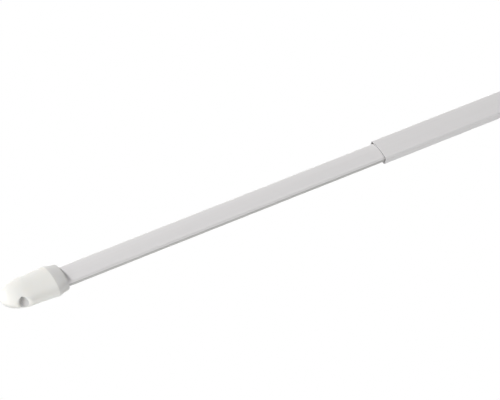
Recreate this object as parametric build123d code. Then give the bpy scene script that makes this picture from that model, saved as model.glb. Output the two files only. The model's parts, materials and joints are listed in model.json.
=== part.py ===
"""Telescopic cafe curtain rod, in millimetres.

Two flat channel rails of painted sheet steel slide one inside the other, and a moulded cap closes
each end. The rod hangs on two upturned hook pins, which stand in blind holes under the caps.

X runs along the rod, the room side faces -Y and +Z is up. The origin is on the axis of the left
pin hole, at the rod's mid height. The slimmer rail and its cap are on the left.
"""
import os

from build123d import *

# Sheet steel, and the gaps of the sliding fit between the rails
SHEET = 0.45
SIDE_GAP = 0.40
FRONT_GAP = 0.15
REAR_GAP = 0.20

# Outer rail
OUTER_WIDTH = 11.5
OUTER_DEPTH = 4.75
OUTER_CROWN = 0.6
OUTER_EDGE_RADIUS = 1.3
OUTER_LENGTH = 430.0

# Inner rail, whose width and depth follow from the outer rail and the gaps
INNER_CROWN = 0.9
INNER_EDGE_RADIUS = 1.5

# Rolled corners behind the flanges, and how far each lip reaches in from the side
LIP_RADIUS = 0.9
LIP_REACH = 2.9

# Stretch of inner rail between its cap and the outer rail's mouth
EXPOSED_AT_REST = 158.0
EXPOSED_WHEN_CLOSED = 4.0
STOP_GAP = 2.0

# End caps, of one wall thickness round the rail at the mouth
CAP_WALL = 1.75
SOCKET_GAP = 0.05
SOCKET_DEPTH = 12.0
DOME_LENGTH = 23.7
NOSE_LENGTH = 12.0
FLANK_RISE = 0.52
FLANK_SLOPE = 0.07
BEVEL_LENGTH = 5.3
BEVEL_RISE = 1.3

# Pin holes
PIN_BORE = 3.8
PIN_TO_TIP = 7.7
PIN_TO_MIDDLE = 1.1
BORE_TOP = 1.5
DISH_RADIUS = 6.0
DISH_DEPTH = 0.9

# Sections that follow
INNER_WIDTH = OUTER_WIDTH - 2 * (SHEET + SIDE_GAP)
INNER_DEPTH = OUTER_DEPTH - 2 * SHEET - FRONT_GAP - REAR_GAP

# Places across the rod that follow
INNER_BACK = PIN_TO_MIDDLE + INNER_DEPTH / 2
OUTER_BACK = INNER_BACK + REAR_GAP + SHEET

# Places along the rod that follow
CAP_LENGTH = DOME_LENGTH + BEVEL_LENGTH
LEFT_MOUTH = CAP_LENGTH - PIN_TO_TIP
INNER_START = LEFT_MOUTH - SOCKET_DEPTH
OUTER_START = LEFT_MOUTH + EXPOSED_AT_REST
OUTER_END = OUTER_START + OUTER_LENGTH
RIGHT_MOUTH = OUTER_END - SOCKET_DEPTH
RIGHT_PIN = RIGHT_MOUTH + CAP_LENGTH - PIN_TO_TIP
CLOSING_TRAVEL = EXPOSED_AT_REST - EXPOSED_WHEN_CLOSED
INNER_END = RIGHT_MOUTH - CLOSING_TRAVEL - STOP_GAP


def rail_outline(width, depth, crown, edge_radius):
    """Closed outside of a rail's section: x across it, y from its flat back to its crowned front."""
    half = width / 2
    shoulder = depth - crown
    sides = Polyline((half, shoulder), (half, 0), (-half, 0), (-half, shoulder))
    front = ThreePointArc((-half, shoulder), (0, depth), (half, shoulder))
    outline = make_face(sides.edges() + front.edges())
    outline = fillet(outline.vertices().group_by(Axis.Y)[-1], edge_radius)
    return fillet(outline.vertices().group_by(Axis.Y)[0], LIP_RADIUS)


def inner_outline():
    """Outside of the slimmer rail's section."""
    return rail_outline(INNER_WIDTH, INNER_DEPTH, INNER_CROWN, INNER_EDGE_RADIUS)


def outer_outline():
    """Outside of the wider rail's section."""
    return rail_outline(OUTER_WIDTH, OUTER_DEPTH, OUTER_CROWN, OUTER_EDGE_RADIUS)


def rail(outline, width, start, end, back):
    """One roll-formed rail: a sheet bent round the outline, with a slot left open along its back."""
    slot = Rectangle(width - 2 * LIP_REACH, 3 * SHEET)
    section = outline - offset(outline, amount=-SHEET) - slot
    square_to_rod = Plane(origin=(start, back, 0), x_dir=(0, 0, 1), z_dir=(1, 0, 0))
    return extrude(square_to_rod * section, end - start)


def cap_body(mouth_half_width, mouth_half_depth):
    """Solid bullet of a cap, an oval all along, with its tip at the origin and x towards its mouth."""
    flatness = mouth_half_depth / mouth_half_width
    crease = mouth_half_width + BEVEL_RISE
    shoulder = crease - FLANK_RISE

    half_ball = split(Sphere(1), Plane.YZ, keep=Keep.BOTTOM)
    nose = scale(half_ball, by=(NOSE_LENGTH, shoulder, shoulder * flatness))

    ends = [(NOSE_LENGTH, shoulder), (DOME_LENGTH, crease)]
    flank = Spline(*ends, tangents=[(1, 0), (1, FLANK_SLOPE)])
    bevel = Polyline(ends[1], (CAP_LENGTH, mouth_half_width), (CAP_LENGTH, 0), (NOSE_LENGTH, 0), ends[0])
    turned = revolve(make_face(flank.edges() + bevel.edges()), Axis.X, 360)
    return Pos(NOSE_LENGTH, 0, 0) * nose + scale(turned, by=(1, 1, flatness))


def end_cap(outline, width, depth):
    """Cap with its tip at the origin, x towards its mouth, y across and z towards the room.

    The rail lies at the oval's middle. Its sheet goes into a slot in the mouth, and the tongue that
    the slot leaves stands inside the rail.
    """
    body = cap_body(width / 2 + CAP_WALL, depth / 2 + CAP_WALL)
    slot = offset(outline, amount=SOCKET_GAP) - offset(outline, amount=-SHEET - SOCKET_GAP)
    mouth = Plane(origin=(CAP_LENGTH, 0, -depth / 2), x_dir=(0, 1, 0), z_dir=(1, 0, 0))
    return body - extrude(mouth * slot, -SOCKET_DEPTH)


def bored(cap, x):
    """A placed cap with its blind pin hole, open downwards, in a shallow dish."""
    hits = cap.find_intersection_points(Axis((x, 0, 0), (0, 0, -1)))
    surface, outward = min(hits, key=lambda hit: hit[0].Z)
    dish = Pos(surface + outward * (DISH_RADIUS - DISH_DEPTH)) * Sphere(DISH_RADIUS)
    reach = BORE_TOP - surface.Z + PIN_BORE
    bore = Pos(x, 0, BORE_TOP - reach / 2) * Cylinder(PIN_BORE / 2, reach)
    return cap - dish - bore


def place_left(cap):
    """Puts a cap on the left end, tip outwards."""
    middle = INNER_BACK - INNER_DEPTH / 2
    return Plane(origin=(-PIN_TO_TIP, middle, 0), x_dir=(1, 0, 0), z_dir=(0, -1, 0)) * cap


def place_right(cap):
    """Puts a cap on the right end, tip outwards."""
    middle = OUTER_BACK - OUTER_DEPTH / 2
    tip = RIGHT_PIN + PIN_TO_TIP
    return Plane(origin=(tip, middle, 0), x_dir=(-1, 0, 0), z_dir=(0, -1, 0)) * cap


def build():
    """Every piece in its place, under the name of its part."""
    inner, outer = inner_outline(), outer_outline()
    return {
        "inner_rail": rail(inner, INNER_WIDTH, INNER_START, INNER_END, INNER_BACK),
        "outer_rail": rail(outer, OUTER_WIDTH, OUTER_START, OUTER_END, OUTER_BACK),
        "left_end_cap": bored(place_left(end_cap(inner, INNER_WIDTH, INNER_DEPTH)), 0),
        "right_end_cap": bored(place_right(end_cap(outer, OUTER_WIDTH, OUTER_DEPTH)), RIGHT_PIN),
    }


os.makedirs("parts", exist_ok=True)
for name, piece in build().items():
    export_step(piece, f"parts/{name}.step")
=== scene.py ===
"""Looks of a telescopic cafe curtain rod: two flat enamelled steel rails with moulded end caps.

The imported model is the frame. The rails keep their shapes and get their enamel here. Each cap is
moulded again as a finer piece in the same place, with the soft edges that a mould gives. The camera
stands where the photograph's did. The rod's own sizes are in millimetres until a mesh is placed,
and the studio's are in metres.
"""
from __future__ import annotations

import json
import logging
import math
from dataclasses import dataclass, field
from enum import Enum

import bmesh
import bpy
from mathutils import Euler, Matrix, Vector

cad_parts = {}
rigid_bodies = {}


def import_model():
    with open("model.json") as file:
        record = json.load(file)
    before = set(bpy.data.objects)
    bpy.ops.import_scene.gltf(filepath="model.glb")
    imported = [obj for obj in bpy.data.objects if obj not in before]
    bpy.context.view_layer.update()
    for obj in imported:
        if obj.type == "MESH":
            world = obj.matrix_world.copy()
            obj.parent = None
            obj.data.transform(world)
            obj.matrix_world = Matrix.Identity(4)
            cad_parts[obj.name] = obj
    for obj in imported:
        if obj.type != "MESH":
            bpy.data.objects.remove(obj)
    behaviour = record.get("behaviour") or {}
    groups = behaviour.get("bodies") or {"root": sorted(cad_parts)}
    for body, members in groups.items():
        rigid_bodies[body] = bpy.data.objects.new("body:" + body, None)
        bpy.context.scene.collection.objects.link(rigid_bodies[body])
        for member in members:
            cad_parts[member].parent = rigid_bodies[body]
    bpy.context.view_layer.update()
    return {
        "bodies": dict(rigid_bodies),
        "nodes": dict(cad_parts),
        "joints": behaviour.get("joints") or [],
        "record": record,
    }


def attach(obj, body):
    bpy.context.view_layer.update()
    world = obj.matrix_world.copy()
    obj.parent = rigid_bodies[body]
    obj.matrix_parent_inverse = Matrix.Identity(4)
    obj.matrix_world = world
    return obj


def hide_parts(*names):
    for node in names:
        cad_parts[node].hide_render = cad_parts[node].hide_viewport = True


LOG = logging.getLogger("cafe_rod")
MM = 0.001
WHITE = (1.0, 1.0, 1.0, 1.0)
EDGE_SAMPLES = 6

Socket = bpy.types.NodeSocket
Tree = bpy.types.NodeTree


class Side(Enum):
    """End of the rod that a cap closes. The value is the way its mouth faces along X."""

    LEFT = 1
    RIGHT = -1


def linear_from_hex(code: str) -> tuple[float, float, float, float]:
    """Turns an sRGB hex colour into the linear colour that the shaders take.

    Args:
        code: Colour such as "#DDDBDD".

    Returns:
        Linear red, green and blue, and an alpha of 1.
    """
    channels = [int(code[i : i + 2], 16) / 255 for i in (1, 3, 5)]
    linear = [c / 12.92 if c <= 0.04045 else ((c + 0.055) / 1.055) ** 2.4 for c in channels]
    return (linear[0], linear[1], linear[2], 1.0)


def repeats(size_mm: float) -> float:
    """Gives the scale at which a pattern's blotches have a real size."""
    return 1 / (size_mm * MM)


def feed(tree: Tree, node: bpy.types.Node, inputs: dict[str | int, object]) -> None:
    """Fills some inputs of a shader node.

    Args:
        tree: Tree that holds the node.
        node: The node.
        inputs: What its inputs get, each a value or the socket of another node.
    """
    for name, given in inputs.items():
        if isinstance(given, Socket):
            tree.links.new(given, node.inputs[name])
        else:
            node.inputs[name].default_value = given


def add_node(
    tree: Tree, kind: str, inputs: dict[str | int, object] | None = None, **settings: object
) -> bpy.types.Node:
    """Adds one shader node.

    Args:
        tree: Tree that gets the node.
        kind: The node's type name.
        inputs: What its inputs get, each a value or the socket of another node.
        settings: Properties of the node itself.

    Returns:
        The new node.
    """
    node = tree.nodes.new(kind)
    for name, value in settings.items():
        setattr(node, name, value)
    feed(tree, node, inputs or {})
    return node


def layered(tree: Tree, ground: str, layers: list[tuple[Socket, str]]) -> Socket:
    """Lays colours over a ground, each where its mask lets it through.

    Args:
        tree: Tree that gets the nodes.
        ground: Colour under the rest, as hex.
        layers: Masks and their hex colours, from the lowest layer up.

    Returns:
        The colour's socket.
    """
    colour = linear_from_hex(ground)
    for mask, over in layers:
        inputs = {0: mask, 6: colour, 7: linear_from_hex(over)}
        colour = add_node(tree, "ShaderNodeMix", inputs, data_type="RGBA").outputs[2]
    return colour


def relief(tree: Tree, height: Socket, height_mm: float, edge_mm: float) -> Socket:
    """Makes the normal of a surface with a fine relief and slightly rounded edges.

    Args:
        tree: Tree that gets the nodes.
        height: Pattern that stands out.
        height_mm: How far it stands out.
        edge_mm: Radius of the edges.

    Returns:
        The normal's socket.
    """
    edges = add_node(tree, "ShaderNodeBevel", {"Radius": edge_mm * MM}, samples=EDGE_SAMPLES)
    bump = {
        "Strength": 1.0,
        "Distance": height_mm * MM,
        "Height": height,
        "Normal": edges.outputs["Normal"],
    }
    return add_node(tree, "ShaderNodeBump", bump).outputs["Normal"]


def new_material(name: str) -> tuple[bpy.types.Material, Tree, bpy.types.Node]:
    """Makes a material whose tree holds only its surface shader and output.

    Args:
        name: Name of the material.

    Returns:
        The material, its tree and its surface shader.
    """
    material = bpy.data.materials.new(name)
    material.use_nodes = True
    tree = material.node_tree
    tree.nodes.clear()
    shader = add_node(tree, "ShaderNodeBsdfPrincipled")
    add_node(tree, "ShaderNodeOutputMaterial", {"Surface": shader.outputs["BSDF"]})
    return material, tree, shader


@dataclass(frozen=True)
class RollEnamelledSteel:
    """White polyester enamel, stoved on steel strip before it is rolled to a rail.

    It gives the eye an even cool white with a satin sheen, a faint orange peel, and drawn-out
    streaks along the rail where the rollers pressed. The strip's back is grey, partly a backing coat
    and partly painted shade inside the rail; its cut ends are bare zinc. A rail that slides in another
    gets painted shade in grey streaks on its flanks, from flank_mm above and below its middle outwards.
    """

    name: str = "Polyester_Enamel_Roll_Formed"
    colour: str = "#E7E5E5"
    streak_colour: str = "#E2E0E0"
    # Grey of the painted shade on the flanks of a rail that slides in another.
    painted_shade_colour: str = "#B9B8B6"
    # Grey inside the rail: partly a backing coat, partly painted shade of the channel.
    backing_and_shade_colour: str = "#B0B1AE"
    cut_colour: str = "#BFBDBF"
    smoothest: float = 0.29
    roughest: float = 0.41
    peel_mm: float = 1.1
    peel_layers: float = 1.5
    peel_height_mm: float = 0.003
    streak_mm: float = 0.9
    streak_layers: float = 3.0
    streak_length_mm: float = 60.0
    shade_fade_mm: float = 0.05
    shade_least: float = 0.7
    shade_most: float = 1.2
    cut_facing: float = 0.9
    middle_mm: float = 1.1
    flank_mm: float = math.inf
    edge_mm: float = 0.08

    def build(self) -> bpy.types.Material:
        """Makes the material.

        Returns:
            The enamel, with painted shade on its flanks, a grey back with painted shade, and bare cut
            ends.
        """
        material, tree, shader = new_material(self.name)
        where = add_node(tree, "ShaderNodeTexCoord")
        streak, peel = self._streaks(tree, where), self._peel(tree, where)
        bare = self._cut_end(tree, where)
        layers = [(streak, self.streak_colour)]
        # Painted shade: grey streaks on the flanks of a rail that slides in another.
        if math.isfinite(self.flank_mm):
            layers.append((self._painted_flank_shade(tree, where, streak), self.painted_shade_colour))
        # Inside the rail: grey, partly a backing coat and partly painted shade of the channel.
        layers.append((self._strip_back(tree, where), self.backing_and_shade_colour))
        layers.append((bare, self.cut_colour))
        sheen = {"Value": streak, "To Min": self.smoothest, "To Max": self.roughest}
        feed(tree, shader, {
            "Base Color": layered(tree, self.colour, layers),
            "Roughness": add_node(tree, "ShaderNodeMapRange", sheen).outputs["Result"],
            "Metallic": bare,
            "Normal": relief(tree, peel, self.peel_height_mm, self.edge_mm),
        })
        return material

    def _streaks(self, tree: Tree, where: bpy.types.Node) -> Socket:
        """Draws the streaks that the rollers leave along the rail.

        Args:
            tree: The material's tree.
            where: Its texture coordinates.

        Returns:
            A socket that wanders about 0.5.
        """
        drawn_out = (self.streak_mm / self.streak_length_mm, 1, 1)
        stretched = add_node(
            tree, "ShaderNodeMapping", {"Vector": where.outputs["Object"], "Scale": drawn_out}
        )
        pattern = {
            "Vector": stretched.outputs["Vector"],
            "Scale": repeats(self.streak_mm),
            "Detail": self.streak_layers,
        }
        return add_node(tree, "ShaderNodeTexNoise", pattern).outputs["Fac"]

    def _peel(self, tree: Tree, where: bpy.types.Node) -> Socket:
        """Draws the orange peel of the stoved enamel.

        Args:
            tree: The material's tree.
            where: Its texture coordinates.

        Returns:
            A socket that wanders about 0.5.
        """
        pattern = {
            "Vector": where.outputs["Object"],
            "Scale": repeats(self.peel_mm),
            "Detail": self.peel_layers,
        }
        return add_node(tree, "ShaderNodeTexNoise", pattern).outputs["Fac"]

    def _painted_flank_shade(self, tree: Tree, where: bpy.types.Node, streak: Socket) -> Socket:
        """Finds the flanks that slide in the other rail, which get a painted shade in streaks.

        Args:
            tree: The material's tree.
            where: Its texture coordinates.
            streak: Pattern of streaks along the rail.

        Returns:
            A socket that says how much painted shade a place gets.
        """
        place = add_node(tree, "ShaderNodeSeparateXYZ", {"Vector": where.outputs["Object"]})
        across = add_node(tree, "ShaderNodeMath", {0: place.outputs["Z"]}, operation="ABSOLUTE")
        fade = {
            "Value": across.outputs["Value"],
            "From Min": (self.flank_mm - self.shade_fade_mm) * MM,
            "From Max": (self.flank_mm + self.shade_fade_mm) * MM,
        }
        uneven = {"Value": streak, "To Min": self.shade_least, "To Max": self.shade_most}
        shares = {
            index: add_node(tree, "ShaderNodeMapRange", inputs).outputs["Result"]
            for index, inputs in enumerate((fade, uneven))
        }
        return add_node(tree, "ShaderNodeMath", shares, operation="MULTIPLY").outputs["Value"]

    def _cut_end(self, tree: Tree, where: bpy.types.Node) -> Socket:
        """Finds the cut ends of the strip, which face along the rail.

        Args:
            tree: The material's tree.
            where: Its texture coordinates.

        Returns:
            A socket that is 1 on the cut ends and 0 elsewhere.
        """
        facing = add_node(tree, "ShaderNodeSeparateXYZ", {"Vector": where.outputs["Normal"]})
        along = add_node(tree, "ShaderNodeMath", {0: facing.outputs["X"]}, operation="ABSOLUTE")
        limit = {0: along.outputs["Value"], 1: self.cut_facing}
        return add_node(tree, "ShaderNodeMath", limit, operation="GREATER_THAN").outputs["Value"]

    def _strip_back(self, tree: Tree, where: bpy.types.Node) -> Socket:
        """Finds the back of the strip, which faces the middle of the rail's section.

        Args:
            tree: The material's tree.
            where: Its texture coordinates.

        Returns:
            A socket that is 1 inside the rail and 0 outside.
        """
        section = add_node(tree, "ShaderNodeMapping", {
            "Vector": where.outputs["Object"],
            "Location": (0, -self.middle_mm * MM, 0),
            "Scale": (0, 1, 1),
        })
        pair = {0: where.outputs["Normal"], 1: section.outputs["Vector"]}
        outward = add_node(tree, "ShaderNodeVectorMath", pair, operation="DOT_PRODUCT")
        limit = {0: outward.outputs["Value"], 1: 0.0}
        return add_node(tree, "ShaderNodeMath", limit, operation="LESS_THAN").outputs["Value"]


@dataclass(frozen=True)
class MouldedPolypropylene:
    """White polypropylene, injection moulded in a finely spark-eroded mould.

    It gives the eye a warmer white than the enamel, a soft sheen that spreads wide, a very fine
    grain that only raking light shows, and a thin witness line where the mould's halves met. The
    collar gets a painted shade, a greyer tone than the rest, and the walls of the pin holes are
    painted grey as shade inside the holes.
    """

    name: str = "Polypropylene_Injection_Moulded"
    colour: str = "#EFEEEA"
    cloud_colour: str = "#ECEBE6"
    # Grey of the painted shade on the collars.
    collar_shade_colour: str = "#DCDBD9"
    witness_colour: str = "#DCDBD6"
    # Grey of the painted shade on the walls of the pin holes.
    painted_shade_colour: str = "#D6D5D3"
    smoothest: float = 0.37
    roughest: float = 0.48
    grain_mm: float = 0.35
    grain_height_mm: float = 0.005
    cloud_mm: float = 9.0
    witness_mm: float = 0.12
    pin_reach_mm: float = 1.96
    pin_top_mm: float = 1.6
    pin_to_collar_mm: float = 16.0
    edge_mm: float = 0.2
    milkiness: float = 0.25
    milk_depth_mm: float = 2.0
    milk_reach: tuple[float, float, float] = (1.0, 0.9, 0.8)

    def build(self, partings_mm: tuple[float, ...], pins_mm: tuple[float, ...]) -> bpy.types.Material:
        """Makes the material.

        Args:
            partings_mm: Places along the rod where a mould's halves met.
            pins_mm: Places along the rod of the pin holes.

        Returns:
            The moulded plastic.
        """
        material, tree, shader = new_material(self.name)
        where = add_node(tree, "ShaderNodeTexCoord").outputs["Object"]
        place = add_node(tree, "ShaderNodeSeparateXYZ", {"Vector": where})
        cloud, grain = (
            add_node(tree, "ShaderNodeTexNoise", {"Vector": where, "Scale": repeats(size)}).outputs["Fac"]
            for size in (self.cloud_mm, self.grain_mm)
        )
        from_pin = self._nearest(tree, place, pins_mm)
        layers = [
            (cloud, self.cloud_colour),
            # Painted shade on the collars.
            (self._collar_shade(tree, from_pin), self.collar_shade_colour),
            # Painted shade on the walls of the pin holes.
            (self._pin_hole_shade(tree, place, from_pin), self.painted_shade_colour),
            (self._witness_line(tree, place, partings_mm), self.witness_colour),
        ]
        sheen = {"Value": grain, "To Min": self.smoothest, "To Max": self.roughest}
        feed(tree, shader, {
            "Base Color": layered(tree, self.colour, layers),
            "Roughness": add_node(tree, "ShaderNodeMapRange", sheen).outputs["Result"],
            "Normal": relief(tree, grain, self.grain_height_mm, self.edge_mm),
            "Subsurface Weight": self.milkiness,
            "Subsurface Radius": self.milk_reach,
            "Subsurface Scale": self.milk_depth_mm * MM,
        })
        return material

    def _collar_shade(self, tree: Tree, from_pin: Socket) -> Socket:
        """Finds the collars round the mouths of the caps, which get a painted shade.

        Args:
            tree: The material's tree.
            from_pin: Distance along the rod from the nearest pin, in metres.

        Returns:
            A socket that is 1 on the collars and 0 elsewhere.
        """
        limit = {0: from_pin, 1: self.pin_to_collar_mm * MM}
        return add_node(tree, "ShaderNodeMath", limit, operation="GREATER_THAN").outputs["Value"]

    def _witness_line(self, tree: Tree, place: bpy.types.Node, partings_mm: tuple[float, ...]) -> Socket:
        """Finds the thin bands round the caps where the mould's halves met.

        Args:
            tree: The material's tree.
            place: Its object coordinates, taken apart.
            partings_mm: Places of the bands along the rod.

        Returns:
            A socket that is 1 on the bands and 0 elsewhere.
        """
        limit = {0: self._nearest(tree, place, partings_mm), 1: self.witness_mm / 2 * MM}
        return add_node(tree, "ShaderNodeMath", limit, operation="LESS_THAN").outputs["Value"]

    def _pin_hole_shade(self, tree: Tree, place: bpy.types.Node, from_pin: Socket) -> Socket:
        """Finds the walls of the pin holes, which get a painted shade.

        Args:
            tree: The material's tree.
            place: Its object coordinates, taken apart.
            from_pin: Distance along the rod from the nearest pin, in metres.

        Returns:
            A socket that is 1 on the walls and 0 elsewhere.
        """
        from_axis = add_node(tree, "ShaderNodeCombineXYZ", {"X": from_pin, "Y": place.outputs["Y"]})
        reach = add_node(
            tree, "ShaderNodeVectorMath", {0: from_axis.outputs["Vector"]}, operation="LENGTH"
        )
        limits = (
            {0: reach.outputs["Value"], 1: self.pin_reach_mm * MM},
            {0: place.outputs["Z"], 1: self.pin_top_mm * MM},
        )
        within = {
            index: add_node(tree, "ShaderNodeMath", limit, operation="LESS_THAN").outputs["Value"]
            for index, limit in enumerate(limits)
        }
        return add_node(tree, "ShaderNodeMath", within, operation="MULTIPLY").outputs["Value"]

    def _nearest(self, tree: Tree, place: bpy.types.Node, stations_mm: tuple[float, ...]) -> Socket:
        """Measures how far a point is along the rod from the nearest of some stations.

        Args:
            tree: The material's tree.
            place: The point's object coordinates, taken apart.
            stations_mm: Where the stations are along the rod.

        Returns:
            The distance's socket, in metres.
        """
        gaps = []
        for station in stations_mm:
            ends = {0: place.outputs["X"], 1: station * MM}
            offset = add_node(tree, "ShaderNodeMath", ends, operation="SUBTRACT").outputs["Value"]
            gap = add_node(tree, "ShaderNodeMath", {0: offset}, operation="ABSOLUTE")
            gaps.append(gap.outputs["Value"])
        nearest = gaps[0]
        for gap in gaps[1:]:
            both = {0: nearest, 1: gap}
            nearest = add_node(tree, "ShaderNodeMath", both, operation="MINIMUM").outputs["Value"]
        return nearest


def give_finish(piece: bpy.types.Object, material: bpy.types.Material) -> None:
    """Sets one material on a piece and reports it.

    Args:
        piece: Object that gets the finish.
        material: Its material.
    """
    piece.data.materials.clear()
    piece.data.materials.append(material)
    LOG.info("%s finished in %s", piece.name, material.name)


def add_object(name: str, data: bpy.types.ID) -> bpy.types.Object:
    """Puts a mesh, a lamp or a camera in the scene.

    Args:
        name: Name of the object.
        data: What it shows.

    Returns:
        The object, at the origin.
    """
    thing = bpy.data.objects.new(name, data)
    bpy.context.scene.collection.objects.link(thing)
    return thing


def object_in_metres(shape: bmesh.types.BMesh, name: str) -> bpy.types.Object:
    """Turns a shape in metres into an object in the scene.

    Args:
        shape: Shape, which is used up.
        name: Name of the object.

    Returns:
        The object, at the origin, with its place in its mesh.
    """
    mesh = bpy.data.meshes.new(name)
    shape.to_mesh(mesh)
    shape.free()
    return add_object(name, mesh)


def object_from(shape: bmesh.types.BMesh, name: str) -> bpy.types.Object:
    """Turns a shape in millimetres into an object in the scene, with its faces outwards.

    Args:
        shape: Shape, which is used up.
        name: Name of the object.

    Returns:
        The object, at the origin, with its place in its mesh.
    """
    bmesh.ops.scale(shape, vec=(MM, MM, MM), verts=shape.verts)
    bmesh.ops.recalc_face_normals(shape, faces=shape.faces)
    return object_in_metres(shape, name)


def carve(piece: bpy.types.Object, cutter: bpy.types.Object) -> None:
    """Cuts one object out of another, and throws the cutter away.

    Args:
        piece: Object that loses what the cutter covers.
        cutter: Object that cuts.
    """
    modifier = piece.modifiers.new("Carve", "BOOLEAN")
    modifier.operation = "DIFFERENCE"
    modifier.solver = "EXACT"
    modifier.object = cutter
    carved = bpy.data.meshes.new_from_object(piece.evaluated_get(bpy.context.evaluated_depsgraph_get()))
    piece.modifiers.clear()
    piece.data = carved
    bpy.data.objects.remove(cutter)


@dataclass
class Rails:
    """The two roll-formed rails, which keep the shapes of the frame."""

    finishes: dict[str, RollEnamelledSteel] = field(
        default_factory=lambda: {
            # The inner rail's enamel has painted shade on its flanks.
            "inner_rail": RollEnamelledSteel("Polyester_Enamel_Painted_Flank_Shade", flank_mm=4.78),
            "outer_rail": RollEnamelledSteel(),
        }
    )

    def dress(self, frame: dict) -> None:
        """Gives each rail its enamel.

        Args:
            frame: The loaded frame.
        """
        for node, finish in self.finishes.items():
            give_finish(frame["nodes"][node], finish.build())


@dataclass(frozen=True)
class EndCap:
    """One moulded cap: an oval bullet with a dished pin hole and a socket for its rail's sheet."""

    name: str
    node: str
    rail: str
    body: str
    side: Side
    tip: float
    middle: float
    half_width: float
    half_depth: float
    nose: float = 12.0
    dome: float = 23.7
    length: float = 29.0
    flank_rise: float = 0.52
    flank_slope: float = 0.07
    bevel_rise: float = 1.3
    crease_radius: float = 0.25
    mouth_radius: float = 0.3
    pin_to_tip: float = 7.7
    bore_radius: float = 1.9
    bore_top: float = 1.5
    dish_radius: float = 3.4
    dish_depth: float = 0.9
    dish_softness: float = 1.5
    socket_gap: float = 0.04
    sharp_degrees: float = 38.0
    rings_along_nose: int = 40
    rings_along_flank: int = 28
    steps_round: int = 160
    bore_segments: int = 96
    edge_segments: int = 4
    spin_merge: float = 1e-5
    rail_merge: float = 1e-3
    ring_tolerance: float = 1e-4

    @property
    def flatness(self) -> float:
        """How deep the oval is for its width."""
        return self.half_depth / self.half_width

    @property
    def parting(self) -> float:
        """Place of the crease along the rod."""
        return self.tip + self.side.value * self.dome

    @property
    def pin(self) -> float:
        """Place of the pin hole along the rod."""
        return self.tip + self.side.value * self.pin_to_tip

    def build(self, frame: dict) -> bpy.types.Object:
        """Moulds the cap in its place on the rod.

        Args:
            frame: The loaded frame.

        Returns:
            The cap, standing for its node.
        """
        cap = object_from(self._bullet(), self.name)
        carve(cap, object_from(self._bore(), "Bore_Cutter"))
        carve(cap, self._socket_cutter(frame["nodes"][self.rail]))
        cap.data.shade_smooth()
        cap.data.set_sharp_from_angle(angle=math.radians(self.sharp_degrees))
        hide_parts(self.node)
        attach(cap, self.body)
        LOG.info("%s moulded with %d faces", self.name, len(cap.data.polygons))
        return cap

    def _radius(self, x: float) -> float:
        """Half width of the oval, before its edges are rounded.

        Args:
            x: Distance from the tip.

        Returns:
            The half width there.
        """
        crease = self.half_width + self.bevel_rise
        shoulder = crease - self.flank_rise
        if x <= self.nose:
            return shoulder * math.sqrt(max(0.0, 1 - (1 - x / self.nose) ** 2))
        if x <= self.dome:
            run = self.dome - self.nose
            t = (x - self.nose) / run
            rise = 3 * t**2 - 2 * t**3
            return shoulder + self.flank_rise * rise + self.flank_slope * run * (t**3 - t**2)
        return crease - self.bevel_rise * (x - self.dome) / (self.length - self.dome)

    def _stations(self) -> list[float]:
        """Spaces the rings of the cap, closest at its tip.

        Returns:
            Distances from the tip to the mouth.
        """
        turns = [math.pi / 2 * i / self.rings_along_nose for i in range(self.rings_along_nose + 1)]
        along_nose = [self.nose * (1 - math.cos(turn)) for turn in turns]
        run = (self.dome - self.nose) / self.rings_along_flank
        along_flank = [self.nose + run * (i + 1) for i in range(self.rings_along_flank)]
        return along_nose + along_flank + [self.length]

    def _bullet(self) -> bmesh.types.BMesh:
        """Spins the cap's outline round its middle and presses the dish of the pin hole in.

        Returns:
            The cap in millimetres, in its place, without its holes.
        """
        shape = bmesh.new()
        outline = [shape.verts.new((x, 0, self._radius(x))) for x in self._stations()]
        edges = [shape.edges.new(pair) for pair in zip(outline, outline[1:])]
        bmesh.ops.spin(
            shape, geom=outline + edges, cent=(0, 0, 0), axis=(1, 0, 0), dvec=(0, 0, 0),
            angle=math.tau, steps=self.steps_round, use_merge=True, use_normal_flip=False,
            use_duplicate=False,
        )
        bmesh.ops.remove_doubles(shape, verts=shape.verts, dist=self.spin_merge)
        bmesh.ops.holes_fill(shape, edges=[edge for edge in shape.edges if edge.is_boundary], sides=0)
        self._round_edges(shape)
        bmesh.ops.scale(shape, vec=(1, self.flatness, 1), verts=shape.verts)
        if self.side is Side.RIGHT:
            half_turn = Matrix.Rotation(math.pi, 3, "Z")
            bmesh.ops.rotate(shape, cent=(0, 0, 0), matrix=half_turn, verts=shape.verts)
        bmesh.ops.translate(shape, vec=(self.tip, self.middle, 0), verts=shape.verts)
        self._press_dish(shape)
        return shape

    def _round_edges(self, shape: bmesh.types.BMesh) -> None:
        """Rounds the crease and the edge of the mouth.

        Args:
            shape: The cap, still round and at the origin.
        """
        for place, radius in ((self.dome, self.crease_radius), (self.length, self.mouth_radius)):
            ring = [
                edge for edge in shape.edges
                if all(abs(vert.co.x - place) < self.ring_tolerance for vert in edge.verts)
            ]
            bmesh.ops.bevel(
                shape, geom=ring, offset=radius, segments=self.edge_segments, profile=0.5,
                affect="EDGES", material=-1,
            )

    def _underside(self) -> tuple[Vector, Vector]:
        """Finds where the pin's axis leaves the cap.

        Returns:
            The place on the cap's underside, and the way the surface faces there.
        """
        step = 0.01
        radius = self._radius(self.pin_to_tip)
        slope = (self._radius(self.pin_to_tip + step) - radius) / step
        depth = -self.middle
        height = -math.sqrt(radius**2 - (depth / self.flatness) ** 2)
        outward = Vector((-self.side.value * radius * slope, depth / self.flatness**2, height))
        return Vector((self.pin, 0, height)), outward.normalized()

    def _press_dish(self, shape: bmesh.types.BMesh) -> None:
        """Presses a shallow dish with a soft rim round the pin hole.

        Args:
            shape: The cap in its place.
        """
        centre, outward = self._underside()
        for vert in shape.verts:
            reach = (vert.co - centre).length / self.dish_radius
            if reach < 1:
                vert.co -= outward * self.dish_depth * (1 - reach**2) ** self.dish_softness

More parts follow.
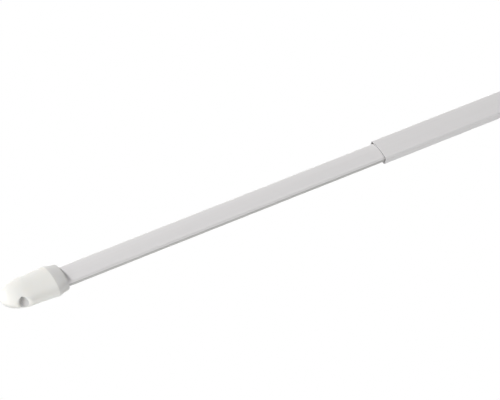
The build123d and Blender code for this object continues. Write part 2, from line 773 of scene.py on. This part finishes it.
    def _bore(self) -> bmesh.types.BMesh:
        """Makes the drill of the pin hole.

        Returns:
            A round bar from below the cap up to the hole's end.
        """
        centre, _ = self._underside()
        bottom = centre.z - 2 * self.bore_radius
        length = self.bore_top - bottom
        shape = bmesh.new()
        bmesh.ops.create_cone(
            shape, cap_ends=True, segments=self.bore_segments, radius1=self.bore_radius,
            radius2=self.bore_radius, depth=length,
            matrix=Matrix.Translation((centre.x, 0, bottom + length / 2)),
        )
        return shape

    def _socket_cutter(self, rail: bpy.types.Object) -> bpy.types.Object:
        """Makes a copy of the rail that is slightly thicker, which cuts the slot for its sheet.

        Args:
            rail: The rail that the cap sits on.

        Returns:
            The fattened copy, in the rail's place.
        """
        shape = bmesh.new()
        shape.from_mesh(rail.data)
        shape.transform(rail.matrix_world)
        bmesh.ops.remove_doubles(shape, verts=shape.verts, dist=self.rail_merge * MM)
        shape.normal_update()
        for vert in shape.verts:
            vert.co += vert.normal * self.socket_gap * MM
        return object_in_metres(shape, "Socket_Cutter")


@dataclass
class EndCaps:
    """The two moulded caps. The right one is wider, for the outer rail."""

    caps: tuple[EndCap, ...] = (
        EndCap(
            "Left_Cap_Moulding", "left_end_cap", "inner_rail", "inner_side", Side.LEFT,
            tip=-7.7, middle=1.1, half_width=6.65, half_depth=3.5,
        ),
        EndCap(
            "Right_Cap_Moulding", "right_end_cap", "outer_rail", "outer_side", Side.RIGHT,
            tip=626.3, middle=1.125, half_width=7.5, half_depth=4.125,
        ),
    )
    finish: MouldedPolypropylene = field(default_factory=MouldedPolypropylene)

    def build(self, frame: dict) -> None:
        """Moulds both caps and gives them their plastic.

        Args:
            frame: The loaded frame.
        """
        partings = tuple(cap.parting for cap in self.caps)
        material = self.finish.build(partings, tuple(cap.pin for cap in self.caps))
        for cap in self.caps:
            give_finish(cap.build(frame), material)


@dataclass(frozen=True)
class SoftLamp:
    """One square area lamp that looks at the rod."""

    name: str
    place: tuple[float, float, float]
    aim: tuple[float, float, float]
    size: float
    watts: float

    def light(self) -> None:
        """Puts the lamp in the scene."""
        lamp = bpy.data.lights.new(self.name, "AREA")
        lamp.shape = "SQUARE"
        lamp.size = self.size
        lamp.energy = self.watts
        thing = add_object(self.name, lamp)
        thing.location = self.place
        towards = Vector(self.aim) - Vector(self.place)
        thing.rotation_euler = towards.to_track_quat("-Z", "Y").to_euler()
        LOG.info("lamp %s at %s", self.name, self.place)


@dataclass
class Studio:
    """White surroundings, a pale floor and soft lamps.

    The floor lies so deep that the long lens can also look at the rod from below.
    """

    floor_height: float = -8.0
    floor_size: float = 80.0
    floor_colour: str = "#F4F4F4"
    floor_roughness: float = 0.9
    floor_glow: float = 0.92
    world_strength: float = 0.1
    lamps: tuple[SoftLamp, ...] = (
        SoftLamp("Key_Left", (-0.898, -0.837, 1.093), (0.1, 0.0, 0.0), 0.2, 26.5),
        SoftLamp("Low_Left", (-1.271, -0.242, -0.975), (0.1, 0.0, 0.0), 0.6, 11.5),
        SoftLamp("Bounce_Below", (-0.473, -0.101, -1.597), (0.1, 0.0, 0.0), 0.6, 10.5),
        SoftLamp("Fill_Right", (0.937, -1.450, -0.295), (0.1, 0.0, 0.0), 0.6, 6.5),
        SoftLamp("Back_Fill", (0.9, 1.4, 0.7), (0.3, 0.0, 0.0), 1.2, 20.0),
    )

    def build(self) -> None:
        """Makes the world, the floor and the lamps."""
        self._world()
        self._floor()
        for lamp in self.lamps:
            lamp.light()
        bpy.context.scene.view_settings.view_transform = "Standard"

    def _world(self) -> None:
        """Lights from all round, and shows white where the rod isn't."""
        world = bpy.data.worlds.new("White_Surroundings")
        bpy.context.scene.world = world
        world.use_nodes = True
        tree = world.node_tree
        tree.nodes.clear()
        around, backdrop = (
            add_node(tree, "ShaderNodeBackground", {"Color": WHITE, "Strength": strength})
            for strength in (self.world_strength, 1.0)
        )
        either = {0: self._seen(tree), 1: around.outputs["Background"], 2: backdrop.outputs["Background"]}
        mix = add_node(tree, "ShaderNodeMixShader", either)
        add_node(tree, "ShaderNodeOutputWorld", {"Surface": mix.outputs["Shader"]})

    def _seen(self, tree: Tree) -> Socket:
        """Tells the rays that look at the surroundings from those that only carry light.

        Args:
            tree: Tree that gets the nodes.

        Returns:
            A socket that is 1 for camera, glossy and transmission rays.
        """
        path = add_node(tree, "ShaderNodeLightPath")
        seen = path.outputs["Is Camera Ray"]
        for ray in ("Is Glossy Ray", "Is Transmission Ray"):
            both = {0: seen, 1: path.outputs[ray]}
            seen = add_node(tree, "ShaderNodeMath", both, operation="MAXIMUM").outputs["Value"]
        return seen

    def _floor(self) -> None:
        """Lays the pale floor, so far down that the rod's shadow on it is too soft to see."""
        shape = bmesh.new()
        place = Matrix.Translation((0, 0, self.floor_height))
        bmesh.ops.create_grid(shape, x_segments=1, y_segments=1, size=self.floor_size / 2, matrix=place)
        floor = object_in_metres(shape, "Floor")
        material, tree, shader = new_material("Matt_White_Floor")
        seen_glow = {0: self._seen(tree), 1: self.floor_glow}
        glow = add_node(tree, "ShaderNodeMath", seen_glow, operation="MULTIPLY")
        feed(tree, shader, {
            "Base Color": linear_from_hex(self.floor_colour),
            "Roughness": self.floor_roughness,
            "Emission Color": WHITE,
            "Emission Strength": glow.outputs["Value"],
        })
        floor.data.materials.append(material)


@dataclass(frozen=True)
class PhotoCamera:
    """Long lens below and left of the rod, on its room side, rolled as the photograph was."""

    place: tuple[float, float, float] = (-0.521546, -1.100257, -0.742321)
    degrees: tuple[float, float, float] = (126.4932, 31.9218, -8.6375)
    lens_mm: float = 250.82
    sensor_mm: float = 36.0
    nearest: float = 0.05
    farthest: float = 50.0

    def stand(self) -> None:
        """Puts the camera in the scene."""
        camera = bpy.data.cameras.new("Photo_Camera")
        camera.lens = self.lens_mm
        camera.sensor_width = self.sensor_mm
        camera.clip_start = self.nearest
        camera.clip_end = self.farthest
        camera.dof.use_dof = False
        thing = add_object("Photo_Camera", camera)
        thing.location = self.place
        thing.rotation_euler = Euler([math.radians(d) for d in self.degrees], "XYZ")
        bpy.context.scene.camera = thing
        LOG.info("camera at %s", self.place)


def main() -> None:
    """Builds the rod's looks, piece by piece."""
    logging.basicConfig(level=logging.INFO, format="%(message)s")
    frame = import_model()
    Rails().dress(frame)
    EndCaps().build(frame)
    Studio().build()
    PhotoCamera().stand()


if __name__ == "__main__":
    main()
